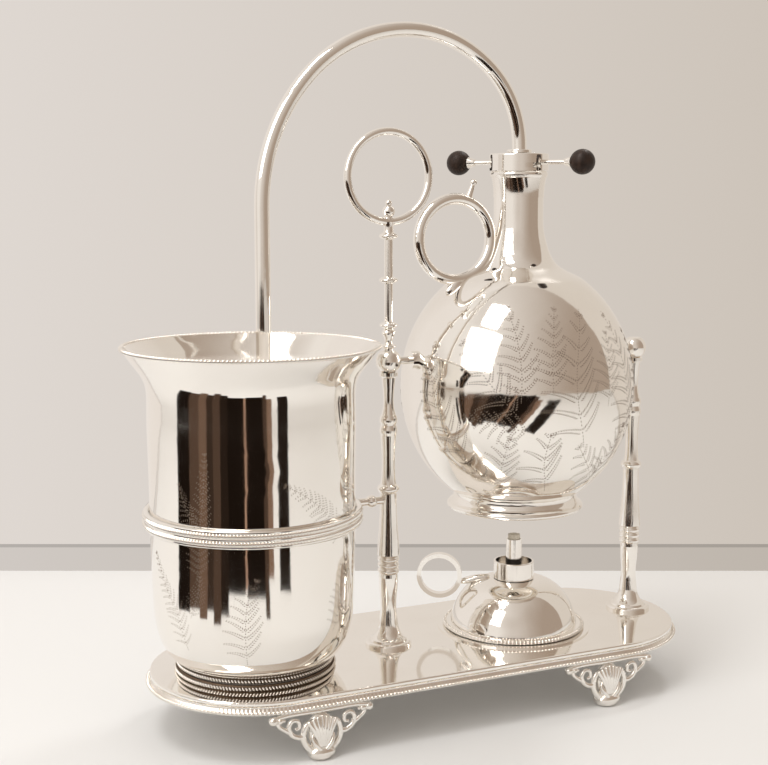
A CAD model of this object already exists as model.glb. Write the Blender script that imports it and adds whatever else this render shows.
import math
import random

import bpy
from bpy.props import FloatProperty, FloatVectorProperty, IntProperty, PointerProperty
from mathutils import Matrix, Vector
from mathutils.bvhtree import BVHTree


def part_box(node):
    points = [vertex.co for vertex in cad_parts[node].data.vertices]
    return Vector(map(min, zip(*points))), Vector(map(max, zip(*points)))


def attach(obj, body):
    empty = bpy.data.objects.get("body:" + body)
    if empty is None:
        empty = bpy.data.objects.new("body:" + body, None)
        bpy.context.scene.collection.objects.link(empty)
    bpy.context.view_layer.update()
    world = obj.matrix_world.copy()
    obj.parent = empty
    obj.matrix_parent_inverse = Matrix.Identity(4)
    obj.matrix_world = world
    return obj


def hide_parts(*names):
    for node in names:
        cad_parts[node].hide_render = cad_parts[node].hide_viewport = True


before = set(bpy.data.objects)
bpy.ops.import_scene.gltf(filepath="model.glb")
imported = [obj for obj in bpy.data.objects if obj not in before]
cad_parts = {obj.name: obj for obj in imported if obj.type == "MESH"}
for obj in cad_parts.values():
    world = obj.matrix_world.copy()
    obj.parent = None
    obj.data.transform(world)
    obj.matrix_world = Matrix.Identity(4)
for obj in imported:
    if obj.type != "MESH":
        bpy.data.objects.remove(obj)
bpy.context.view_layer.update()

bl_info = {
    "name": "Siphon Coffee Maker Looks",
    "version": (1, 0, 0),
    "blender": (4, 5, 0),
    "location": "View3D > Sidebar > Coffee Maker",
    "description": "Dresses the siphon coffee maker in polished silver plate, beading and fern engraving",
    "category": "Object",
}

MM = 0.001
TAU = math.tau
UP = Vector((0, 0, 1))
IMAGE_WIDTH = 768
SENSOR_WIDTH = 36.0


def node_middle(node):
    low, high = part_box(node)
    return (low + high) / 2


BEAKER_X = node_middle("beaker_rim_bead").x
FLASK_X = node_middle("flask_foot_ring").x


# Sizes and colours that a user would change

def colour_setting(name, description, default):
    return FloatVectorProperty(
        name=name, description=description, default=default, size=3, subtype="COLOR")


def length_setting(name, description, default):
    return FloatProperty(name=name, description=description, default=default, unit="LENGTH")


def angle_setting(name, description, default):
    return FloatProperty(
        name=name, description=description, default=default, subtype="ANGLE", unit="ROTATION")


def share_setting(name, description, default):
    return FloatProperty(name=name, description=description, default=default, subtype="FACTOR")


class StageSettings(bpy.types.PropertyGroup):
    """Camera, floor, backdrop and light around the object."""

    camera_place: FloatVectorProperty(
        name="Camera place", description="Where the camera stands", size=3,
        default=(-0.3334, -0.6747, 0.2879), subtype="XYZ", unit="LENGTH")
    camera_yaw: angle_setting("Camera yaw", "Turn of the view from the back toward the flask", 0.4343)
    camera_pitch: angle_setting("Camera pitch", "How far the view looks down", 0.1402)
    focal_pixels: FloatProperty(
        name="Focal length", description="Focal length in image pixels", default=1368.7)
    floor_reach: length_setting("Floor reach", "Distance from the camera to the backdrop", 1.015)
    ledge_height: length_setting(
        "Ledge height", "Height of the ledge where floor and backdrop meet", 18.6 * MM)
    floor_colour: colour_setting("Floor colour", "Colour of the pale floor", (0.76, 0.77, 0.775))
    wall_left: colour_setting(
        "Backdrop left", "Colour of the backdrop on the left", (0.735, 0.682, 0.637))
    wall_right: colour_setting(
        "Backdrop right", "Colour of the backdrop on the right", (0.605, 0.545, 0.482))
    room_light: colour_setting(
        "Room light side", "Bright side of the room that the silver mirrors", (0.87, 0.815, 0.76))
    room_dark: colour_setting(
        "Room dark side", "Dim side of the room that the silver mirrors", (0.40, 0.315, 0.25))
    fill_colour: colour_setting("Fill colour", "Colour of the light from all around", (0.95, 0.86, 0.775))
    fill_strength: FloatProperty(
        name="Fill strength", description="Strength of the light from all around", default=0.84)
    lamp_colour: colour_setting("Lamp colour", "Colour of the softboxes", (1.0, 0.985, 0.965))
    dark_colour: colour_setting(
        "Dark card colour", "Colour of the cards that the silver mirrors", (0.010, 0.006, 0.004))


class FinishSettings(bpy.types.PropertyGroup):
    """Silver plate and the other finishes."""

    silver_colour: colour_setting("Silver", "Colour of the silver plate", (0.94, 0.915, 0.875))
    tarnish_colour: colour_setting("Tarnish", "Colour of the faint tarnish", (0.74, 0.665, 0.58))
    engraving_colour: colour_setting("Engraving", "Colour of the engraved cuts", (0.24, 0.182, 0.136))
    recess_colour: colour_setting("Recess", "Colour of the tarnish behind the ropes", (0.22, 0.15, 0.10))
    ebony_colour: colour_setting("Ebony", "Colour of the turned wood", (0.017, 0.0095, 0.0065))
    cork_colour: colour_setting("Cork", "Colour of the cork", (0.52, 0.34, 0.19))
    fleck_colour: colour_setting("Cork flecks", "Colour of the flecks in the cork", (0.20, 0.11, 0.06))
    cotton_colour: colour_setting("Cotton", "Colour of the cotton's threads", (0.84, 0.80, 0.71))
    cotton_shade: colour_setting(
        "Cotton shade", "Colour between the cotton's threads", (0.60, 0.55, 0.46))
    steel_colour: colour_setting("Steel", "Colour of the plain steel", (0.50, 0.49, 0.47))
    steel_stain: colour_setting("Steel stain", "Colour of the stains on the steel", (0.34, 0.32, 0.30))
    polish: share_setting("Polish", "Roughness of the polished silver", 0.055)
    frost: share_setting("Frost", "Roughness of the engraved cuts", 0.42)


class BeadSettings(bpy.types.PropertyGroup):
    """Beaded, roped and fluted borders."""

    pitch: length_setting("Bead pitch", "Distance from one bead to the next", 2.15 * MM)
    ridge_lean: angle_setting(
        "Ridge lean", "Lean of the strokes on the hoop's milled ridges", math.radians(38))
    flute_depth: length_setting("Flute depth", "Depth of the flutes of the tray's border", 0.28 * MM)


class FernSettings(bpy.types.PropertyGroup):
    """Engraved fern fronds."""

    seed: IntProperty(name="Seed", description="Start of the random draws", default=11)
    beaker_cut_width: length_setting("Beaker cut width", "Width of one cut on the beaker", 0.74 * MM)
    flask_cut_width: length_setting("Flask cut width", "Width of one cut on the flask", 0.95 * MM)
    cut_height: length_setting("Cut height", "Height of a cut over the silver", 0.16 * MM)
    cut_step: length_setting("Cut step", "Distance between cuts along a leaflet", 1.35 * MM)
    cut_share: share_setting("Cut length", "Length of a cut as a share of the longest leaflet", 0.2)
    beaker_leaflet_share: share_setting(
        "Beaker leaflets", "Distance between leaflets as a share of the longest leaflet", 0.36)
    flask_leaflet_share: share_setting(
        "Flask leaflets", "Distance between leaflets as a share of the longest leaflet", 0.40)


# Shader building

class Value:
    """A shader value that takes part in Python arithmetic."""

    def __init__(self, paint, socket):
        self.paint = paint
        self.socket = socket

    def calculate(self, operation, first, second):
        made = self.paint.node("ShaderNodeMath", {"operation": operation}, {0: first, 1: second})
        return Value(self.paint, made.outputs[0])

    def __add__(self, other):
        return self.calculate("ADD", self, other)

    def __radd__(self, other):
        return self.calculate("ADD", other, self)

    def __sub__(self, other):
        return self.calculate("SUBTRACT", self, other)

    def __rsub__(self, other):
        return self.calculate("SUBTRACT", other, self)

    def __mul__(self, other):
        return self.calculate("MULTIPLY", self, other)

    def __rmul__(self, other):
        return self.calculate("MULTIPLY", other, self)


class Paint:
    """A node material, or the room, under construction."""

    # A Mix node's colour sockets go by number, because others have the same names
    FIRST_COLOUR, SECOND_COLOUR, MIXED_COLOUR = 6, 7, 2

    def __init__(self, name, owners="materials"):
        self.owner = getattr(bpy.data, owners).new(name)
        self.owner.use_nodes = True
        self.tree = self.owner.node_tree
        self.tree.nodes.clear()

    def node(self, kind, settings=None, sockets=None):
        """Adds a node, sets its settings first, then its input values or links."""
        made = self.tree.nodes.new(kind)
        for key, value in (settings or {}).items():
            setattr(made, key, value)
        for key, value in (sockets or {}).items():
            entry = made.inputs[key]
            if isinstance(value, Value):
                self.tree.links.new(value.socket, entry)
            else:
                entry.default_value = value
        return made

    def value(self, node, output=0):
        return Value(self, node.outputs[output])

    def place(self):
        """The object's own coordinates, in metres."""
        return self.value(self.node("ShaderNodeTexCoord"), "Object")

    def noise(self, scale, detail=2.0, stretch=(1, 1, 1)):
        """Cloudy noise over the object's own coordinates, drawn out along an axis of small stretch."""
        spot = self.node("ShaderNodeMapping", {"vector_type": "POINT"},
                         {"Vector": self.place(), "Scale": stretch})
        made = self.node("ShaderNodeTexNoise", {},
                         {"Vector": self.value(spot), "Scale": scale, "Detail": detail})
        return self.value(made, "Fac")

    def ramp(self, factor, low, high):
        """Zero up to the low value, one from the high value on."""
        made = self.node("ShaderNodeMapRange", {"clamp": True},
                         {"Value": factor, "From Min": low, "From Max": high})
        return self.value(made)

    def blend(self, factor, first, second):
        """One colour where the factor is zero, another where it is one."""
        colours = {self.FIRST_COLOUR: (*first, 1.0), self.SECOND_COLOUR: (*second, 1.0)}
        made = self.node("ShaderNodeMix", {"data_type": "RGBA"}, {"Factor": factor, **colours})
        return self.value(made, self.MIXED_COLOUR)

    def along(self, place, direction):
        """How far a place lies along a direction."""
        made = self.node("ShaderNodeVectorMath", {"operation": "DOT_PRODUCT"}, {0: place, 1: direction})
        return self.value(made, "Value")

    def seen_by(self, ray):
        """One for rays of that kind, zero for the others."""
        return self.value(self.node("ShaderNodeLightPath"), ray)

    def glow(self, colour, strength=1.0):
        return self.node("ShaderNodeEmission", {}, {"Color": colour, "Strength": strength})

    def mixed(self, factor, first, second):
        """One shader where the factor is zero, another where it is one."""
        return self.node("ShaderNodeMixShader", {},
                         {0: factor, 1: self.value(first), 2: self.value(second)})

    def bump(self, height, strength, distance):
        made = self.node("ShaderNodeBump", {},
                         {"Height": height, "Strength": strength, "Distance": distance})
        return self.value(made, "Normal")

    def finish(self, shader, output="ShaderNodeOutputMaterial"):
        """Makes the shader the surface, and gives the finished material or room."""
        self.node(output, {}, {"Surface": self.value(shader)})
        return self.owner

    def surface(self, **sockets):
        """A finished material with one main shader, whose sockets are given by name."""
        names = {key.replace("_", " ").title().replace("Ior", "IOR"): value
                 for key, value in sockets.items()}
        return self.finish(self.node("ShaderNodeBsdfPrincipled", {}, names))


def scaled(colour, factor):
    return [channel * factor for channel in colour]


# Finishes

INNER_FACING = (-20 * MM, -10 * MM)
SATIN_TOP = (188 * MM, 196 * MM)
SATIN_DULLNESS = 0.55
SATIN_ROUGHNESS = 0.3
HAIR_SCALE = 900.0
HAIR_STRETCH = 0.12
HAIR_HEIGHT = 0.02
SPECK_SHARE = 0.5
CLOUD_ROUGHNESS = 0.7
SCRATCH_ROUGHNESS = 0.6
CUT_SHADE = 0.72
STREAK_SHARE = 0.7
STREAK_LIGHTNESS = 3.2
WAXED_ROUGHNESS = 0.42
PORE_ROUGHNESS = 0.25
PORE_DEPTH = 0.4
BASE_ROUGHNESS = 0.35
BASE_CLOUDS = 0.1
RECESS_SHADE = 0.45
STEEL_ROUGHNESS = 0.28
STEEL_CLOUDS = 0.2


def satin_inside(paint):
    """One on the beaker's inner wall below the flare, zero elsewhere."""
    place = paint.place()
    normal = paint.value(paint.node("ShaderNodeTexCoord"), "Normal")
    height = paint.along(place, (0, 0, 1))
    across = paint.along(place, (1, 0, 0)) - BEAKER_X
    deep = paint.along(place, (0, 1, 0))
    facing = paint.along(normal, (1, 0, 0)) * across + paint.along(normal, (0, 1, 0)) * deep
    return (1 - paint.ramp(facing, *INNER_FACING)) * (1 - paint.ramp(height, *SATIN_TOP))


def silver_material(settings, name, wear, tarnish, dents, satin=None):
    """Silver plate: warm, with cloudy polish, hair scratches and a breath of tarnish."""
    paint = Paint(name)
    roughness = settings.polish * wear
    cloud = paint.ramp(paint.noise(scale=38.0, detail=4.0), low=0.42, high=0.72)
    specks = paint.ramp(paint.noise(scale=620.0, detail=3.0), low=0.60, high=0.78)
    mask = cloud * tarnish + specks * (tarnish * SPECK_SHARE)
    colour = paint.blend(mask, settings.silver_colour, settings.tarnish_colour)
    level_hairs = paint.noise(HAIR_SCALE, stretch=(HAIR_STRETCH, 1.0, 1.0))
    hairs = level_hairs + paint.noise(HAIR_SCALE, stretch=(1.0, 1.0, HAIR_STRETCH))
    scratches = paint.ramp(hairs, low=1.1, high=1.4)
    rough = (roughness + cloud * (roughness * CLOUD_ROUGHNESS)
             + scratches * (roughness * SCRATCH_ROUGHNESS))
    height = paint.noise(scale=55.0) * dents + hairs * HAIR_HEIGHT
    normal = paint.bump(height, strength=0.05, distance=2 * MM)
    if satin is None:
        return paint.surface(base_color=colour, metallic=1.0, roughness=rough, normal=normal)
    inner = satin(paint)
    return paint.surface(
        base_color=colour, metallic=1 - inner * SATIN_DULLNESS, roughness=rough + inner * SATIN_ROUGHNESS,
        normal=normal)


def engraving_material(settings):
    """Frosted silver of the engraved cuts."""
    paint = Paint("engraved_silver")
    darker = scaled(settings.engraving_colour, CUT_SHADE)
    colour = paint.blend(paint.noise(scale=2600.0), settings.engraving_colour, darker)
    return paint.surface(base_color=colour, metallic=0.2, roughness=settings.frost)


def ebony_material(settings):
    """Dark turned wood with a fine grain and a waxed surface."""
    paint = Paint("ebony")
    grain = paint.noise(scale=420.0, detail=4.0, stretch=(1.0, 1.0, 0.18))
    pores = paint.ramp(paint.noise(scale=1900.0, stretch=(1.0, 1.0, 0.3)), low=0.55, high=0.7)
    streaks = paint.ramp(grain, low=0.35, high=0.75) * STREAK_SHARE
    lighter = scaled(settings.ebony_colour, STREAK_LIGHTNESS)
    colour = paint.blend(streaks, settings.ebony_colour, lighter)
    normal = paint.bump(grain - pores * PORE_DEPTH, strength=0.25, distance=0.4 * MM)
    return paint.surface(
        base_color=colour, roughness=WAXED_ROUGHNESS + pores * PORE_ROUGHNESS, normal=normal,
        specular_ior_level=0.25)


def cork_material(settings):
    """Natural cork with dark flecks."""
    paint = Paint("cork")
    flecks = paint.ramp(paint.noise(scale=480.0, detail=4.0), low=0.55, high=0.68)
    colour = paint.blend(flecks, settings.cork_colour, settings.fleck_colour)
    normal = paint.bump(1 - flecks, strength=0.4, distance=0.6 * MM)
    return paint.surface(base_color=colour, roughness=0.85, normal=normal)


def cotton_material(settings):
    """Woven cotton of the wick and the filter cloth."""
    paint = Paint("cotton")
    over = paint.noise(scale=1500.0, stretch=(1.0, 1.0, 0.2))
    across = paint.noise(scale=1500.0, stretch=(0.2, 0.2, 1.0))
    colour = paint.blend(over * across, settings.cotton_shade, settings.cotton_colour)
    normal = paint.bump(over + across, strength=0.5, distance=0.4 * MM)
    return paint.surface(base_color=colour, roughness=0.9, normal=normal)


def satin_material(settings):
    """Dull silver of the beaker's floor."""
    paint = Paint("silver_plate_satin")
    cloud = paint.noise(scale=90.0, detail=3.0)
    colour = paint.blend(cloud, settings.silver_colour, settings.tarnish_colour)
    rough = BASE_ROUGHNESS + cloud * BASE_CLOUDS
    return paint.surface(base_color=colour, metallic=0.45, roughness=rough)


def recess_material(settings):
    """Dark tarnish that stays behind the strands of the roped rings."""
    paint = Paint("tarnished_recess")
    darker = scaled(settings.recess_colour, RECESS_SHADE)
    colour = paint.blend(paint.noise(scale=240.0, detail=3.0), settings.recess_colour, darker)
    return paint.surface(base_color=colour, metallic=0.7, roughness=0.5)


def steel_material(settings):
    """Plain steel of the hidden fixings."""
    paint = Paint("plain_steel")
    cloud = paint.noise(scale=160.0, detail=3.0)
    colour = paint.blend(cloud, settings.steel_colour, settings.steel_stain)
    rough = STEEL_ROUGHNESS + cloud * STEEL_CLOUDS
    return paint.surface(base_color=colour, metallic=1.0, roughness=rough)


SILVER_FINISHES = {
    "mirror": {"wear": 1.0, "tarnish": 0.10, "dents": 0.5},
    "vessel": {"wear": 1.0, "tarnish": 0.10, "dents": 0.5, "satin": satin_inside},
    "turned": {"wear": 1.7, "tarnish": 0.22, "dents": 0.2},
    "cast": {"wear": 2.6, "tarnish": 0.45, "dents": 0.3},
}
OTHER_FINISHES = {
    "satin": satin_material, "engraved": engraving_material, "recess": recess_material,
    "ebony": ebony_material, "cork": cork_material, "cotton": cotton_material, "steel": steel_material,
}
MATERIALS = {}


def finish_of(name):
    """The finished material of that name, made when it is first asked for."""
    if name not in MATERIALS:
        settings = bpy.context.scene.coffee_finishes
        if name in SILVER_FINISHES:
            MATERIALS[name] = silver_material(settings, f"silver_plate_{name}", **SILVER_FINISHES[name])
        else:
            MATERIALS[name] = OTHER_FINISHES[name](settings)
    return MATERIALS[name]


# Mesh building: every shape is a pair of a point list and a face list

NEARLY_UPRIGHT = 1e-4


def joined(shapes):
    """One point list and one face list from many."""
    points, faces = [], []
    for some_points, some_faces in shapes:
        start = len(points)
        points.extend(some_points)
        faces.extend([[index + start for index in face] for face in some_faces])
    return points, faces


def smooth_line(knots, steps):
    """A curve through the knots, with a fixed number of steps from knot to knot."""
    knots = [Vector(knot) for knot in knots]
    line = []
    for index in range(len(knots) - 1):
        before = knots[max(index - 1, 0)]
        start, end = knots[index], knots[index + 1]
        after = knots[min(index + 2, len(knots) - 1)]
        for step in range(steps):
            t = step / steps
            line.append(0.5 * (
                2 * start + (end - before) * t
                + (2 * before - 5 * start + 4 * end - after) * t * t
                + (3 * start - before - 3 * end + after) * t ** 3))
    line.append(knots[-1])
    return line


def skinned(rings, closed=False):
    """A skin over rings of places, tipped at a ring of one place; closed joins the last to the first."""
    points, faces, numbers = [], [], []
    for ring in rings:
        numbers.append(range(len(points), len(points) + len(ring)))
        points.extend(ring)
    pairs = list(zip(numbers, numbers[1:]))
    if closed:
        pairs.append((numbers[-1], numbers[0]))
    for low, high in pairs:
        sides = max(len(low), len(high))
        for side in range(sides):
            after = (side + 1) % sides
            corners = [low[side % len(low)], low[after % len(low)],
                       high[after % len(high)], high[side % len(high)]]
            faces.append(list(dict.fromkeys(corners)))
    return points, faces


def circle_path(middle, radius, height, count):
    """Evenly spaced places around a circle, each with its outward direction."""
    path = []
    for index in range(count):
        out = Vector((math.cos(TAU * index / count), math.sin(TAU * index / count), 0))
        path.append((Vector((middle[0], middle[1], height)) + out * radius, out))
    return path


def turned(outline, middle, sides=160, closed=False):
    """A turned shape: radii and heights about an upright axis, closed if it is a ring."""
    rings = [circle_path(middle, radius, height, sides if radius else 1) for radius, height in outline]
    return skinned([[place for place, _ in ring] for ring in rings], closed)


def pipe(path, radii, sides):
    """A round bar along a path, with a radius for each place and flat ends."""
    rings = []
    lift = UP
    for index, (place, radius) in enumerate(zip(path, radii)):
        ahead = path[min(index + 1, len(path) - 1)] - path[max(index - 1, 0)]
        ahead.normalize()
        across = ahead.cross(lift)
        if across.length < NEARLY_UPRIGHT:
            across = ahead.cross(Vector((1, 0, 0)))
        across.normalize()
        lift = across.cross(ahead).normalized()
        angles = [TAU * side / sides for side in range(sides)]
        rings.append([place + across * (radius * math.cos(angle)) + lift * (radius * math.sin(angle))
                      for angle in angles])
    points, faces = skinned(rings)
    first = list(range(sides))
    last = list(range(len(points) - sides, len(points)))
    return points, faces + [first[::-1], last]


def ball(middle, radii, turn=None, rings=8, sides=12):
    """A ball or egg at a place, with its three half-lengths and an optional turn."""
    turn = turn or Matrix.Identity(3)
    polars = [math.pi * ring / rings - math.pi / 2 for ring in range(1, rings)]
    outline = [(0, -1)] + [(math.cos(polar), math.sin(polar)) for polar in polars] + [(0, 1)]
    points, faces = turned(outline, (0, 0), sides)
    size = Matrix.Diagonal(radii)
    return [middle + turn @ (size @ point) for point in points], faces


def add_piece(name, shape, finish, body, replaces=(), recess=0):
    """Makes a silver piece that rides on its body; its first faces are dark, as many as recess says."""
    mesh = bpy.data.meshes.new(name)
    mesh.from_pydata([tuple(point) for point in shape[0]], [], shape[1])
    mesh.polygons.foreach_set("use_smooth", [True] * len(mesh.polygons))
    mesh.validate()
    mesh.update()
    piece = bpy.data.objects.new(name, mesh)
    bpy.context.scene.collection.objects.link(piece)
    mesh.materials.append(finish_of(finish))
    if recess:
        mesh.materials.append(finish_of("recess"))
        for face in mesh.polygons[:recess]:
            face.material_index = 1
    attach(piece, body)
    if replaces:
        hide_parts(*replaces)


# Borders

STRAND_WIDTH = 0.62
STRAND_LENGTH = 1.35
ROPE_RADIUS = 0.88 * MM
ROPE_LEAN = 0.6
ROPE_PITCH = 0.8
ROPE_DEPTH = 1.0 * MM
CORE_DEPTH = 1.9 * MM


def spaced_circle(middle, radius, height, pitch):
    """Places around a circle, about a pitch apart."""
    return circle_path(middle, radius, height, round(TAU * radius / pitch))


def oval_path(middle_x, straight_half, radius, height, pitch):
    """Evenly spaced places around the tray's outline, each with its outward direction."""
    lengths = [2 * straight_half, math.pi * radius] * 2
    total = sum(lengths)
    count = round(total / pitch)
    path = []
    for index in range(count):
        along = total * index / count
        leg = 0
        while along > lengths[leg]:
            along -= lengths[leg]
            leg += 1
        way = 1 if leg < 2 else -1
        if leg in (0, 2):
            out = Vector((0, -way, 0))
            place = Vector((middle_x + way * (along - straight_half), -way * radius, height))
        else:
            angle = -math.pi / 2 * way + along / radius
            out = Vector((math.cos(angle), math.sin(angle), 0))
            place = Vector((middle_x + way * straight_half, 0, height)) + out * radius
        path.append((place, out))
    return path


def bead_shapes(path, radius):
    return [ball(place, (radius, radius, radius)) for place, _ in path]


def bead_ring(node, middle, pitch):
    """A row of beads where the node has a round wire."""
    low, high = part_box(node)
    bead = (high.z - low.z) / 2
    path = spaced_circle(middle, (high.x - low.x) / 2 - bead, (low.z + high.z) / 2, pitch)
    return joined(bead_shapes(path, bead))


def rope_shapes(path, radius, lean):
    """Slanted strokes side by side, which read as a twisted cord."""
    strand = (radius * STRAND_WIDTH, radius, radius * STRAND_LENGTH)
    shapes = []
    for place, out in path:
        along = UP.cross(out).normalized()
        turn = Matrix.Rotation(lean, 3, out) @ Matrix((along, out, UP)).transposed()
        shapes.append(ball(place, strand, turn))
    return shapes


def roped_ring(node, middle, wall, pitch):
    """A ring in the node's place with a rope around it, and how many of its first faces are the ring's."""
    low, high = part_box(node)
    reach = (high.x - low.x) / 2
    inner, core = reach - wall, reach - CORE_DEPTH
    section = [(inner, low.z), (core, low.z), (core, high.z), (inner, high.z)]
    ring = turned(section, middle, closed=True)
    path = spaced_circle(middle, reach - ROPE_DEPTH, (low.z + high.z) / 2, pitch * ROPE_PITCH)
    return joined([ring] + rope_shapes(path, ROPE_RADIUS, ROPE_LEAN)), len(ring[1])


# The stage

MIRRORED_GLOW = 1.16
FLOOR_SHADE = 0.97


def stage_mesh(name, points, material):
    """A flat sheet of the stage."""
    mesh = bpy.data.meshes.new(name)
    mesh.from_pydata([tuple(point) for point in points], [], [list(range(len(points)))])
    mesh.materials.append(material)
    sheet = bpy.data.objects.new(name, mesh)
    bpy.context.scene.collection.objects.link(sheet)
    return sheet


def unseen_card(name, points, colour):
    """A card on the stage that only mirrors show."""
    paint = Paint(name)
    card = stage_mesh(name, points, paint.finish(paint.glow((*colour, 1.0))))
    for ray in ("camera", "diffuse", "shadow", "transmission"):
        setattr(card, f"visible_{ray}", False)


def lit_sheet(name, points, colour):
    """A matt sheet that takes light and shadow."""
    paint = Paint(name)
    tone = paint.blend(paint.noise(scale=2.2, detail=3.0), colour, scaled(colour, FLOOR_SHADE))
    stage_mesh(name, points, paint.surface(base_color=tone, roughness=0.6, specular_ior_level=0.0))


def glowing_sheet(name, points, right, tones, reach):
    """A sheet with its own even tone, from one on the left to another on the right, clear from behind."""
    paint = Paint(name)
    across = paint.ramp(paint.along(paint.place(), right), -reach, reach)
    tone = paint.blend(across, *tones)
    front = paint.mixed(paint.seen_by("Is Camera Ray"), paint.glow(tone, MIRRORED_GLOW), paint.glow(tone))
    behind = paint.value(paint.node("ShaderNodeNewGeometry"), "Backfacing")
    both = paint.mixed(behind, front, paint.node("ShaderNodeBsdfTransparent"))
    sheet = stage_mesh(name, points, paint.finish(both))
    sheet.visible_shadow = False


def area_light(name, place, aim, size, power, colour):
    lamp = bpy.data.lights.new(name, "AREA")
    lamp.shape = "RECTANGLE"
    lamp.size, lamp.size_y = size
    lamp.energy = power
    lamp.color = colour
    light = bpy.data.objects.new(name, lamp)
    bpy.context.scene.collection.objects.link(light)
    light.location = place
    light.rotation_euler = (aim - place).to_track_quat("-Z", "Y").to_euler()


class COFFEE_OT_stage(bpy.types.Operator):
    """Set up the camera, the floor, the backdrop and the soft light"""
    bl_idname = "coffee.stage"
    bl_label = "Stage"

    CLIP_START = 0.01
    FLOOR_RUN = 2.4
    HALF_WIDTH = 2.6
    BACKDROP_HEIGHT = 1.8
    LEDGE_LINE = 2.6 * MM
    TONE_REACH = 0.3
    LIT_HEIGHT = 0.16
    KEY_DIRECTION = Vector((-0.42, -0.17, 0.89))
    KEY_DISTANCE = 1.15
    ROOM_CLOUDS = 0.34
    CARD_HEIGHT = 1 * MM
    CARD_STEPS = 8
    # Dark cards: first and last angle in degrees around the beaker, from straight in front of it,
    # near and far reach in metres, and how many times the dark colour the card has
    CARDS = (
        (-80, -64, 0.25, 1.3, 1.0), (-64, -52, 0.26, 1.9, 9.0), (-52, -43, 0.235, 2.4, 16.0),
        (-43, -36, 0.26, 2.8, 4.0), (-36, -28, 0.22, 3.2, 8.0), (-28, -20, 0.25, 3.4, 2.0),
        (-20, -3, 0.30, 3.4, 1.0), (-3, -1, 0.31, 3.4, 40.0), (-1, 17, 0.29, 3.2, 1.0),
        (17, 21, 0.24, 2.4, 7.0), (21, 26, 0.34, 1.5, 22.0), (32, 43, 0.30, 1.5, 1.4),
    )

    def execute(self, context):
        settings = context.scene.coffee_stage
        context.scene.view_settings.view_transform = "Standard"
        yaw = settings.camera_yaw
        level = Vector((math.sin(yaw), math.cos(yaw), 0))
        right = Vector((math.cos(yaw), -math.sin(yaw), 0))
        self.camera(context.scene, settings, right)
        self.room(context.scene, settings, right)
        self.sheets(settings, level, right)
        self.lights(settings, level, right)
        self.cards(settings, level, right)
        return {"FINISHED"}

    def camera(self, scene, settings, right):
        """The camera at the photograph's viewing angle."""
        yaw, pitch = settings.camera_yaw, settings.camera_pitch
        flat = math.cos(pitch)
        ahead = Vector((math.sin(yaw) * flat, math.cos(yaw) * flat, -math.sin(pitch)))
        camera_data = bpy.data.cameras.new("photo_camera")
        camera_data.sensor_fit = "HORIZONTAL"
        camera_data.sensor_width = SENSOR_WIDTH
        camera_data.lens = settings.focal_pixels / IMAGE_WIDTH * SENSOR_WIDTH
        camera_data.clip_start = self.CLIP_START
        camera = bpy.data.objects.new("photo_camera", camera_data)
        scene.collection.objects.link(camera)
        turn = Matrix((right, right.cross(ahead), -ahead)).transposed()
        camera.matrix_world = Matrix.Translation(settings.camera_place) @ turn.to_4x4()
        scene.camera = camera

    def room(self, scene, settings, right):
        """The room: light on the left and dim on the right in mirrors, an even light for the rest."""
        paint = Paint("soft_room", "worlds")
        spot = paint.value(paint.node("ShaderNodeTexCoord"), "Generated")
        side = paint.ramp(paint.along(spot, -right), low=-0.75, high=0.55)
        noise = paint.node("ShaderNodeTexNoise", {}, {"Vector": spot, "Scale": 1.5, "Detail": 0.0})
        dim = 1 - self.ROOM_CLOUDS * paint.ramp(paint.value(noise, "Fac"), low=0.36, high=0.66)
        tone = paint.blend(side * dim, settings.room_dark, settings.room_light)
        seen = paint.node("ShaderNodeBackground", {}, {"Color": tone, "Strength": 1.0})
        even = paint.node("ShaderNodeBackground", {}, {
            "Color": (*settings.fill_colour, 1.0), "Strength": settings.fill_strength})
        both = paint.mixed(paint.seen_by("Is Glossy Ray"), even, seen)
        scene.world = paint.finish(both, "ShaderNodeOutputWorld")

    def sheets(self, settings, level, right):
        """The floor, and the upright backdrop with a ledge and a darker line at its foot."""
        place = settings.camera_place
        ground = Vector((place[0], place[1], 0))
        back = ground + level * settings.floor_reach
        front = ground - level * self.FLOOR_RUN
        beyond = back + level * self.FLOOR_RUN
        wide = right * self.HALF_WIDTH
        floor = [front - wide, front + wide, beyond + wide, beyond - wide]
        lit_sheet("floor", floor, settings.floor_colour)
        rise = settings.ledge_height
        # Name, lower and upper edge, distance in front of the backdrop, share of its tone
        uprights = (
            ("backdrop", 0, self.BACKDROP_HEIGHT, 0, 1.0),
            ("ledge", 0, rise, 2 * MM, 0.85),
            ("ledge_line", rise, rise + self.LEDGE_LINE, 3 * MM, 0.62),
        )
        for name, start, end, ahead, dim in uprights:
            foot = back - level * ahead
            low, high = foot + UP * start, foot + UP * end
            tones = [scaled(tone, dim) for tone in (settings.wall_left, settings.wall_right)]
            corners = [low - wide, low + wide, high + wide, high - wide]
            glowing_sheet(name, corners, right, tones, self.TONE_REACH)

    def lights(self, settings, level, right):
        """Softboxes over the left front, behind on the right, and broad in front on the left."""
        middle = UP * self.LIT_HEIGHT
        # Name, offset from the object's middle, size in metres, power in watts
        softboxes = (
            ("key_softbox", self.KEY_DIRECTION * self.KEY_DISTANCE, (0.32, 0.42), 4.2),
            ("back_softbox", right * 0.45 + level * 0.62 + UP, (0.24, 0.24), 2.6),
            ("front_softbox", -right * 0.9 - level * 0.9 + UP * 0.8, (0.9, 0.9), 5.5),
        )
        for name, offset, size, power in softboxes:
            area_light(name, middle + offset, middle, size, power, settings.lamp_colour)

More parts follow.
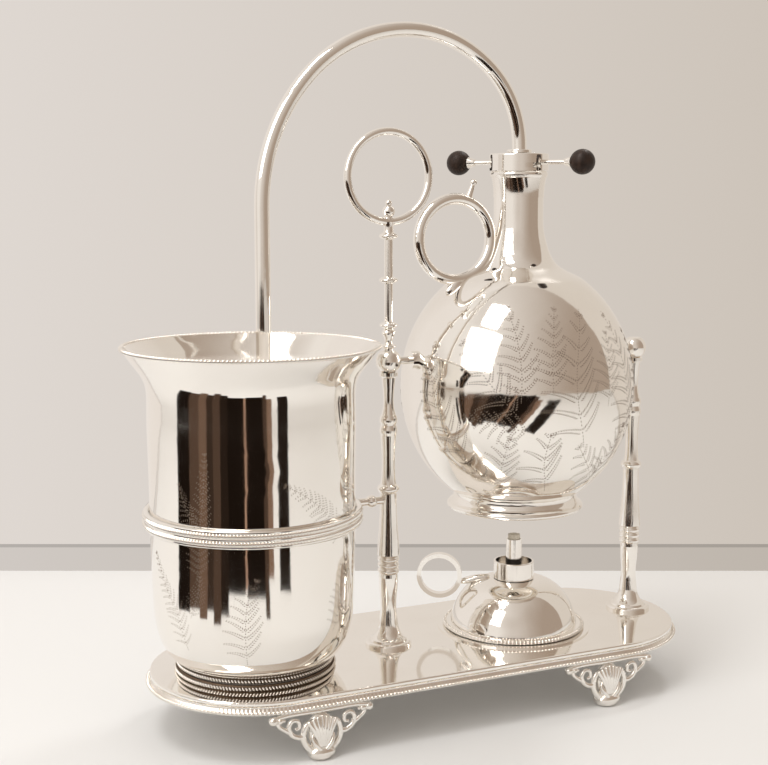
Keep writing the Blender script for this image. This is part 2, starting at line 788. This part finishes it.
    def cards(self, settings, level, right):
        """Dark sectors on the floor in front of the beaker, which its side mirrors as upright bands."""
        foot = Vector((BEAKER_X, 0, self.CARD_HEIGHT))
        for index, (first, last, near, far, lift) in enumerate(self.CARDS):
            angles = [math.radians(first + (last - first) * step / self.CARD_STEPS)
                      for step in range(self.CARD_STEPS + 1)]
            rays = [right * math.sin(angle) - level * math.cos(angle) for angle in angles]
            ring = [foot + ray * near for ray in rays] + [foot + ray * far for ray in reversed(rays)]
            unseen_card(f"dark_card_{index}", ring, scaled(settings.dark_colour, lift))


# The stand

class COFFEE_OT_tray(bpy.types.Operator):
    """Dress the tray: fluted border and beading"""
    bl_idname = "coffee.tray"
    bl_label = "Tray"

    WALL = 2.9 * MM
    PLACES_PER_FLUTE = 6
    # The border's section: shift from its outer face, share of its height, and one where it is fluted
    SECTION = (
        (-WALL, 0.0, 0), (-0.1 * MM, 0.0, 0), (0.0, 0.16, 0), (-0.5 * MM, 0.34, 1), (-1.25 * MM, 0.55, 1),
        (-1.5 * MM, 0.72, 1), (-1.15 * MM, 0.90, 1), (-0.75 * MM, 1.0, 0), (-WALL, 1.0, 0),
    )

    def execute(self, context):
        beads = context.scene.coffee_beads
        low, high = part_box("tray_beading")
        middle_x = (low.x + high.x) / 2
        bead_radius = (high.z - low.z) / 2
        radius = (high.y - low.y) / 2 - bead_radius
        straight = (high.x - low.x) / 2 - bead_radius - radius
        path = oval_path(middle_x, straight, radius, low.z + bead_radius, beads.pitch)
        add_piece("tray_bead_row", joined(bead_shapes(path, bead_radius)), "cast", "stand",
                  replaces=("tray_beading",))
        self.border(beads, middle_x, straight)
        return {"FINISHED"}

    def border(self, beads, middle_x, straight):
        """The turned-down edge, an ogee with upright flutes."""
        low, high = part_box("tray_border")
        height = high.z - low.z
        step = beads.pitch / self.PLACES_PER_FLUTE
        path = oval_path(middle_x, straight, (high.y - low.y) / 2, low.z, step)
        rings = []
        for shift, share, fluted in self.SECTION:
            ring = []
            for index, (place, out) in enumerate(path):
                wave = (math.cos(TAU * index / self.PLACES_PER_FLUTE) - 1) / 2
                depth = shift + wave * beads.flute_depth * fluted
                ring.append(place + out * depth + UP * (height * share))
            rings.append(ring)
        add_piece("tray_fluted_border", skinned(rings, closed=True), "cast", "stand",
                  replaces=("tray_border",))


class CastFoot:
    """One foot in millimetres: across from its middle, up from the floor, and ahead of its face.

    A height below zero is measured down from the tray's border.
    """

    STANCE = 55
    FACE = 2.6
    KNOT_STEPS = 8
    # Bars, which are mirrored: knots, first and last radius, sides
    BARS = (
        (((4.6, 4.6), (8.6, 8.4), (10.2, 13.2), (8.8, 18.6), (5.4, 20.6), (3.2, 18.2), (4.6, 15.8),
          (6.4, 17.0)), 1.9, 1.0, 12),
        (((9.4, 14.0), (12.6, 13.4), (16.4, 15.4), (18.0, 19.4), (16.0, 22.6), (12.8, 21.8), (12.4, 18.6),
          (14.6, 17.8)), 1.6, 0.9, 12),
        (((16.8, 16.4), (20.4, 18.6), (23.6, 21.4), (22.6, 24.2), (20.0, 23.2)), 1.3, 0.8, 12),
        (((0, -1.5), (9, -1.3), (18, -1.3), (26.0, -2.2)), 1.4, 1.2, 10),
        (((1.2, 5.2, 2.2), (4.2, 9.0, 2.6), (5.6, 12.6, 1.6), (4.0, 15.0, 0.8)), 1.5, 0.7, 12),
    )
    # Berries, which are mirrored: place across and up, half-lengths
    BERRIES = (
        (5.3, 17.6, (1.5, 1.7, 1.5)), (26.2, -3.3, (2.5, 2.4, 2.3)), (22.6, -3.6, (1.8, 1.9, 1.7)),
    )
    RIBS = 7
    # Rib knots: across at the outermost rib, up and ahead at the middle rib, then how much higher and
    # further ahead the outermost rib is there
    RIB_KNOTS = ((1.6, 7.4, 2.4, 0, 0), (4.6, 15.6, 3.2, 0, -1), (7.6, -3.6, 1.0, -2.6, 0))
    RIB_RADII = (0.9, 1.5)
    RIB_SIDES = 10
    # Rounded middle behind the ribs and over the toe: place, half-lengths, rings
    SWELLS = (
        ((0, 14.6, -1.6), (7.4, 3.2, 10.4), 12),
        ((0, 9.4, -0.8), (6.4, 4.2, 6.6), 12),
        ((0, 3.9, 1.2), (7.2, 3.4, 3.2), 10),
    )
    SWELL_SIDES = 18
    # The toe's outline: radius, height
    TOE = ((0, 0), (4.6, 0), (6.2, 0.7), (7.0, 2.2), (6.9, 3.8), (5.9, 5.4), (4.2, 6.6), (0, 7.4))
    TOE_SIDES = 32
    LUG_RADIUS = 4.5
    LUG_DROP = 2.2
    LUG_BEHIND = 10.4
    BRIDGE_RADIUS = 1.3
    BRIDGE_DROP = 1.4

    def __init__(self, node):
        middle = node_middle(node)
        self.front = -1 if middle.y < 0 else 1
        self.middle = Vector((middle.x, self.front * self.STANCE * MM, 0))
        self.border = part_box("tray_border")[0].z

    def at(self, across, up, ahead=0.0):
        """A place on the foot, from its own millimetres."""
        out = self.front * (self.FACE + ahead)
        start = self.border if up < 0 else 0.0
        return self.middle + Vector((across, out, up)) * MM + UP * start

    def bar(self, knots, first, last, sides):
        """A bar through the knots, whose radius changes evenly."""
        line = smooth_line([self.at(*knot) for knot in knots], self.KNOT_STEPS)
        steps = len(line) - 1
        radii = [(first + (last - first) * step / steps) * MM for step in range(steps + 1)]
        return pipe(line, radii, sides)

    def scrolls(self):
        """The bars and berries on both sides."""
        shapes = []
        for flip in (-1, 1):
            for knots, first, last, sides in self.BARS:
                mirrored = [(flip * across, *rest) for across, *rest in knots]
                shapes.append(self.bar(mirrored, first, last, sides))
            for across, up, radii in self.BERRIES:
                shapes.append(ball(self.at(flip * across, up), scaled(radii, MM)))
        return shapes

    def shell(self):
        """The ribs that fan out over the foot's middle, what they lie on, and the toe."""
        shapes = []
        half = (self.RIBS - 1) / 2
        for index in range(self.RIBS):
            lean = (index - half) / half
            slope = abs(lean)
            knots = [(lean * across, up + slope * rise, ahead + slope * step)
                     for across, up, ahead, rise, step in self.RIB_KNOTS]
            shapes.append(self.bar(knots, *self.RIB_RADII, self.RIB_SIDES))
        for place, radii, rings in self.SWELLS:
            shapes.append(ball(self.at(*place), scaled(radii, MM), rings=rings, sides=self.SWELL_SIDES))
        shapes.append(turned([scaled(point, MM) for point in self.TOE], self.middle, self.TOE_SIDES))
        return shapes

    def lug(self):
        """The lug that is screwed to the tray, and its bridge to the face."""
        radius = self.LUG_RADIUS * MM
        low = self.border - self.LUG_DROP * MM
        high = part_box("tray_plate")[0].z
        face = self.at(0, -self.BRIDGE_DROP)
        centre = Vector((face.x, self.middle.y - self.front * self.LUG_BEHIND * MM, face.z))
        lug = turned([(0, low), (radius, low), (radius, high), (0, high)], centre, self.TOE_SIDES)
        return [lug, pipe([face, centre], [self.BRIDGE_RADIUS * MM] * 2, self.RIB_SIDES)]


class COFFEE_OT_feet(bpy.types.Operator):
    """Model the cast feet: pierced scrolls, a ribbed shell and a rounded toe"""
    bl_idname = "coffee.feet"
    bl_label = "Feet"

    def execute(self, context):
        for node in ("foot_front_left", "foot_front_right", "foot_back_left", "foot_back_right"):
            foot = CastFoot(node)
            shapes = foot.scrolls() + foot.shell() + foot.lug()
            add_piece(node + "_cast", joined(shapes), "cast", "stand", replaces=(node,))
        return {"FINISHED"}


class COFFEE_OT_hoop(bpy.types.Operator):
    """Model the hoop around the beaker with its two milled ridges"""
    bl_idname = "coffee.hoop"
    bl_label = "Hoop"

    INNER, BAND, BULGE = 3.4 * MM, 1.1 * MM, 0.75 * MM
    # Depth below the hoop's outer radius, share of its height
    SECTION = (
        (INNER, 0.0), (BAND, 0.0), (BULGE, 0.08), (BAND, 0.16), (BAND, 0.44), (BULGE, 0.5), (BAND, 0.56),
        (BAND, 0.84), (BULGE, 0.92), (BAND, 1.0), (INNER, 1.0),
    )
    SIDES = 200
    RIDGE_SHARES = (0.28, 0.72)
    RIDGE_RADIUS = 1.25 * MM
    RIDGE_PITCH = 0.82

    def execute(self, context):
        beads = context.scene.coffee_beads
        low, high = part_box("hoop")
        middle = ((low.x + high.x) / 2, 0.0)
        outer = (high.x - low.x) / 2
        height = high.z - low.z
        section = [(outer - depth, low.z + height * share) for depth, share in self.SECTION]
        shapes = [turned(section, middle, self.SIDES, closed=True)]
        for share in self.RIDGE_SHARES:
            ridge = spaced_circle(middle, outer - self.RIDGE_RADIUS, low.z + height * share,
                                  beads.pitch * self.RIDGE_PITCH)
            shapes.extend(rope_shapes(ridge, self.RIDGE_RADIUS, beads.ridge_lean))
        add_piece("hoop_milled", joined(shapes), "turned", "stand", replaces=("hoop",))
        return {"FINISHED"}


# The vessels

class COFFEE_OT_beaker_borders(bpy.types.Operator):
    """Add the beaded lip and roped foot of the beaker, and the roped ring on the tray"""
    bl_idname = "coffee.beaker_borders"
    bl_label = "Beaker borders"

    FOOT_WALL = 4.0 * MM
    GALLERY_WALL = 3.1 * MM

    def execute(self, context):
        pitch = context.scene.coffee_beads.pitch
        middle = (BEAKER_X, 0.0)
        add_piece("beaker_lip_beads", bead_ring("beaker_rim_bead", middle, pitch), "cast", "beaker_body",
                  replaces=("beaker_rim_bead",))
        foot, recess = roped_ring("beaker_foot_ring", middle, self.FOOT_WALL, pitch)
        add_piece("beaker_foot_beads", foot, "cast", "beaker_body",
                  replaces=("beaker_foot_ring",), recess=recess)
        gallery, recess = roped_ring("beaker_gallery", middle, self.GALLERY_WALL, pitch)
        add_piece("gallery_beads", gallery, "cast", "stand",
                  replaces=("beaker_gallery",), recess=recess)
        return {"FINISHED"}


class COFFEE_OT_lamp_border(bpy.types.Operator):
    """Add the beaded edge of the spirit lamp"""
    bl_idname = "coffee.lamp_border"
    bl_label = "Lamp border"

    def execute(self, context):
        pitch = context.scene.coffee_beads.pitch
        beads = bead_ring("lamp_rim_bead", node_middle("lamp_rim_bead"), pitch)
        add_piece("lamp_edge_beads", beads, "cast", "lamp", replaces=("lamp_rim_bead",))
        return {"FINISHED"}


# The engraving

LOOK_FROM = 120 * MM
STEM_STEPS = 24
FEWEST_LEAFLETS = 5
FEWEST_CUTS = 3
BARE_TIP = 0.6
ROOT_GROWTH = 0.55
GROWTH = 1.8
TAPER = 1.6
SHORTEST_LEAFLET = 1.2 * MM
# A leaflet's lean from its stem in degrees: at the stem's foot, what it loses up to the tip, random part
ROOT_LEAN = 58
LEAN_LOSS = 16
LEAN_SPREAD = 5
LEAFLET_BEND = 0.35
FIRST_CUT = 0.35
CUT_TAPER = 0.65
YOUNG_CUT = 0.55
CUT_LEAN = math.radians(38)
CUT_SWELL = 0.4


class Skin:
    """The outer skin of a turned vessel, found by looking at it from outside."""

    def __init__(self, node, axis_x):
        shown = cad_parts[node]
        points = [shown.matrix_world @ corner.co for corner in shown.data.vertices]
        faces = [list(face.vertices) for face in shown.data.polygons]
        self.tree = BVHTree.FromPolygons(points, faces)
        self.axis_x = axis_x

    def at(self, angle, height):
        """Place and outward direction at an angle about the axis and a height, or None past the vessel."""
        out = Vector((math.cos(angle), math.sin(angle), 0))
        start = Vector((self.axis_x, 0, height)) + out * LOOK_FROM
        place, normal = self.tree.ray_cast(start, -out)[:2]
        if place is None:
            return None
        return place, (normal if normal.dot(out) > 0 else -normal)


def cut_shape(first, last, width, height):
    """One engraved cut: a slim ridge between two places, each with its outward direction."""
    (start, start_out), (end, end_out) = first, last
    out = (start_out + end_out).normalized()
    along = end - start
    across = along.cross(out).normalized() * (width / 2)
    sunk = out * (-height / 2)
    swell = start + along * CUT_SWELL
    crest = (start + end) / 2 + out * height
    points = [start + sunk, swell + across + sunk, end + sunk, swell - across + sunk, crest]
    return points, [[0, 1, 4], [1, 2, 4], [2, 3, 4], [3, 0, 4], [3, 2, 1, 0]]


class Engraver:
    """Cuts fern fronds into a vessel, set out flat as distance around it and height.

    A frond is its stem's knots, in degrees around and millimetres up, and its longest leaflet in
    millimetres.
    """

    def __init__(self, skin, radius, settings, cut_width, leaflet_share, seed, keep_off=None):
        self.skin = skin
        self.radius = radius
        self.settings = settings
        self.cut_width = cut_width
        self.leaflet_share = leaflet_share
        self.draw = random.Random(seed)
        self.keep_off = keep_off
        self.shapes = []

    def engraved(self, fronds):
        """All the fronds, and the same again on the far side."""
        for turn in (0, 180):
            for knots, reach in fronds:
                self.frond([(angle + turn, height) for angle, height in knots], reach * MM)
        return joined(self.shapes)

    def cut(self, start, end):
        """One cut, left out at the heights to keep off."""
        low, high = sorted((start.y, end.y))
        if self.keep_off and low < self.keep_off[1] and high > self.keep_off[0]:
            return
        ends = [self.skin.at(spot.x / self.radius, spot.y) for spot in (start, end)]
        if all(ends):
            self.shapes.append(cut_shape(*ends, self.cut_width, self.settings.cut_height))

    def frond(self, knots, reach):
        """A stem through the knots, with paired leaflets that are as long as the reach at most."""
        flat = [(math.radians(angle) * self.radius, height * MM, 0) for angle, height in knots]
        line = smooth_line(flat, STEM_STEPS)
        for before, after in zip(line[::2], line[2::2]):
            self.cut(before, after)
        lengths = [0.0]
        for before, after in zip(line, line[1:]):
            lengths.append(lengths[-1] + (after - before).length)
        total = lengths[-1]
        count = max(FEWEST_LEAFLETS, round(total / (reach * self.leaflet_share)))
        for index in range(1, count + 1):
            share = index / (count + BARE_TIP)
            spot = next(i for i, length in enumerate(lengths) if length >= total * share)
            ahead = (line[min(spot + 1, len(line) - 1)] - line[spot - 1]).normalized()
            for side in (-1, 1):
                self.leaflet(line[spot], ahead, side, share, reach)

    def leaflet(self, root, ahead, side, share, reach):
        """A double row of slanted cuts, which grow from the stem's foot and shrink toward its tip."""
        grown = min(1.0, ROOT_GROWTH + share * GROWTH) * (1 - share ** TAPER)
        length = reach * grown + SHORTEST_LEAFLET
        lean = ROOT_LEAN - LEAN_LOSS * share + self.draw.uniform(-LEAN_SPREAD, LEAN_SPREAD)
        way = Matrix.Rotation(math.radians(lean) * side, 3, "Z") @ ahead
        bend = -LEAFLET_BEND * ahead.cross(way).z
        longest_cut = reach * self.settings.cut_share * (YOUNG_CUT + (1 - YOUNG_CUT) * grown)
        steps = max(FEWEST_CUTS, round(length / self.settings.cut_step))
        for step in range(steps):
            part = (step + FIRST_CUT) / steps
            heading = (way + ahead * (bend * part)).normalized()
            base = root + heading * (length * part)
            for hand in (-1, 1):
                aim = Matrix.Rotation(CUT_LEAN * hand, 3, "Z") @ heading
                self.cut(base, base + aim * (longest_cut * (1 - CUT_TAPER * part)))


class COFFEE_OT_beaker_ferns(bpy.types.Operator):
    """Engrave fern fronds around the beaker"""
    bl_idname = "coffee.beaker_ferns"
    bl_label = "Beaker ferns"

    RADIUS = 54.5 * MM
    FRONDS = (
        (((-141, 94), (-139, 111), (-138, 123), (-136, 140), (-134.5, 160)), 9.5),
        (((-137, 118), (-146, 128), (-152, 143)), 7.0),
        (((-150, 56), (-156, 75), (-166, 88), (-176, 104)), 10.0),
        (((-146, 74), (-141, 86), (-139, 97)), 7.0),
        (((-113.8, 51), (-114.3, 69), (-112.9, 84), (-107, 97)), 13.5),
        (((-52, 110), (-67.3, 126), (-80.6, 136.4), (-93.5, 143.6)), 10.0),
        (((-50, 112), (-44, 128), (-46, 146)), 8.0),
        (((-60, 62), (-52.5, 83), (-46, 108)), 10.5),
    )

    def execute(self, context):
        settings = context.scene.coffee_ferns
        low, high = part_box("hoop")
        engraver = Engraver(
            Skin("beaker", BEAKER_X), self.RADIUS, settings, settings.beaker_cut_width,
            settings.beaker_leaflet_share, settings.seed, keep_off=(low.z, high.z))
        add_piece("beaker_fern_engraving", engraver.engraved(self.FRONDS), "engraved", "beaker_body")
        return {"FINISHED"}


class COFFEE_OT_flask_ferns(bpy.types.Operator):
    """Engrave broad fern fronds around the flask's globe"""
    bl_idname = "coffee.flask_ferns"
    bl_label = "Flask ferns"

    RADIUS = 60 * MM
    FRONDS = (
        (((-84, 150), (-90, 172), (-91, 190), (-87, 208), (-80, 224)), 23.0),
        (((-100, 124), (-105, 142), (-103, 160)), 19.0),
        (((-60, 124), (-78, 140), (-88, 152)), 17.0),
        (((-117, 166), (-128, 180), (-140, 196), (-150, 208)), 17.0),
        (((-118, 176), (-118, 194), (-121, 212), (-127, 226)), 14.0),
        (((-46, 150), (-54, 175), (-57, 200), (-60, 222)), 19.0),
        (((-146, 140), (-155, 160), (-164, 184), (-166, 206)), 17.0),
        (((-112, 160), (-130, 164), (-146, 168)), 12.0),
        (((-66, 126), (-60, 146), (-52, 160)), 14.0),
        (((-103, 180), (-103, 198), (-100, 216), (-97, 226)), 13.0),
        (((-130, 124), (-127, 142), (-122, 158)), 15.0),
        (((-72, 172), (-70, 192), (-66, 212)), 13.0),
        (((-36, 140), (-34, 164), (-38, 190), (-42, 212)), 15.0),
    )

    def execute(self, context):
        settings = context.scene.coffee_ferns
        engraver = Engraver(
            Skin("flask_globe", FLASK_X), self.RADIUS, settings, settings.flask_cut_width,
            settings.flask_leaflet_share, settings.seed + 1)
        add_piece("flask_fern_engraving", engraver.engraved(self.FRONDS), "engraved", "flask")
        return {"FINISHED"}


# The pieces of the frame that stay

class COFFEE_OT_finishes(bpy.types.Operator):
    """Give every piece of the frame its finish"""
    bl_idname = "coffee.finishes"
    bl_label = "Finishes"

    TURNED = (
        "left_column", "right_column", "upper_stem", "finial", "left_ball_knop", "right_ball_knop",
        "hoop_arm", "neck_flange", "flask_foot_ring", "burner_collar", "wick_tube", "front_ferrule",
        "back_ferrule",
    )
    OTHERS = {
        "beaker": "vessel", "beaker_base": "satin", "front_knob": "ebony", "back_knob": "ebony",
        "cork": "cork", "wick": "cotton", "filter_cloth": "cotton", "foot_screws": "steel",
        "column_nuts": "steel",
    }

    def execute(self, context):
        for name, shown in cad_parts.items():
            finish = self.OTHERS.get(name, "turned" if name in self.TURNED else "mirror")
            shown.data.materials.clear()
            shown.data.materials.append(finish_of(finish))
        return {"FINISHED"}


class COFFEE_PT_looks(bpy.types.Panel):
    """Lists the steps that dress the coffee maker"""
    bl_idname = "COFFEE_PT_looks"
    bl_label = "Coffee Maker"
    bl_space_type = "VIEW_3D"
    bl_region_type = "UI"
    bl_category = "Coffee Maker"

    def draw(self, context):
        for step in STEPS:
            self.layout.operator(step.bl_idname)


STEPS = (
    COFFEE_OT_stage, COFFEE_OT_finishes, COFFEE_OT_tray, COFFEE_OT_feet, COFFEE_OT_hoop,
    COFFEE_OT_beaker_borders, COFFEE_OT_lamp_border, COFFEE_OT_beaker_ferns, COFFEE_OT_flask_ferns,
)
GROUPS = {
    "coffee_stage": StageSettings, "coffee_finishes": FinishSettings, "coffee_beads": BeadSettings,
    "coffee_ferns": FernSettings,
}


def register():
    for name, group in GROUPS.items():
        bpy.utils.register_class(group)
        setattr(bpy.types.Scene, name, PointerProperty(type=group))
    for step in STEPS:
        bpy.utils.register_class(step)
    bpy.utils.register_class(COFFEE_PT_looks)


def unregister():
    bpy.utils.unregister_class(COFFEE_PT_looks)
    for step in reversed(STEPS):
        bpy.utils.unregister_class(step)
    for name, group in GROUPS.items():
        delattr(bpy.types.Scene, name)
        bpy.utils.unregister_class(group)


def main():
    register()
    for step in STEPS:
        family, action = step.bl_idname.split(".")
        result = getattr(getattr(bpy.ops, family), action)()
        if result != {"FINISHED"}:
            raise RuntimeError(f"{step.bl_label} did not finish")


if __name__ == "__main__":
    main()
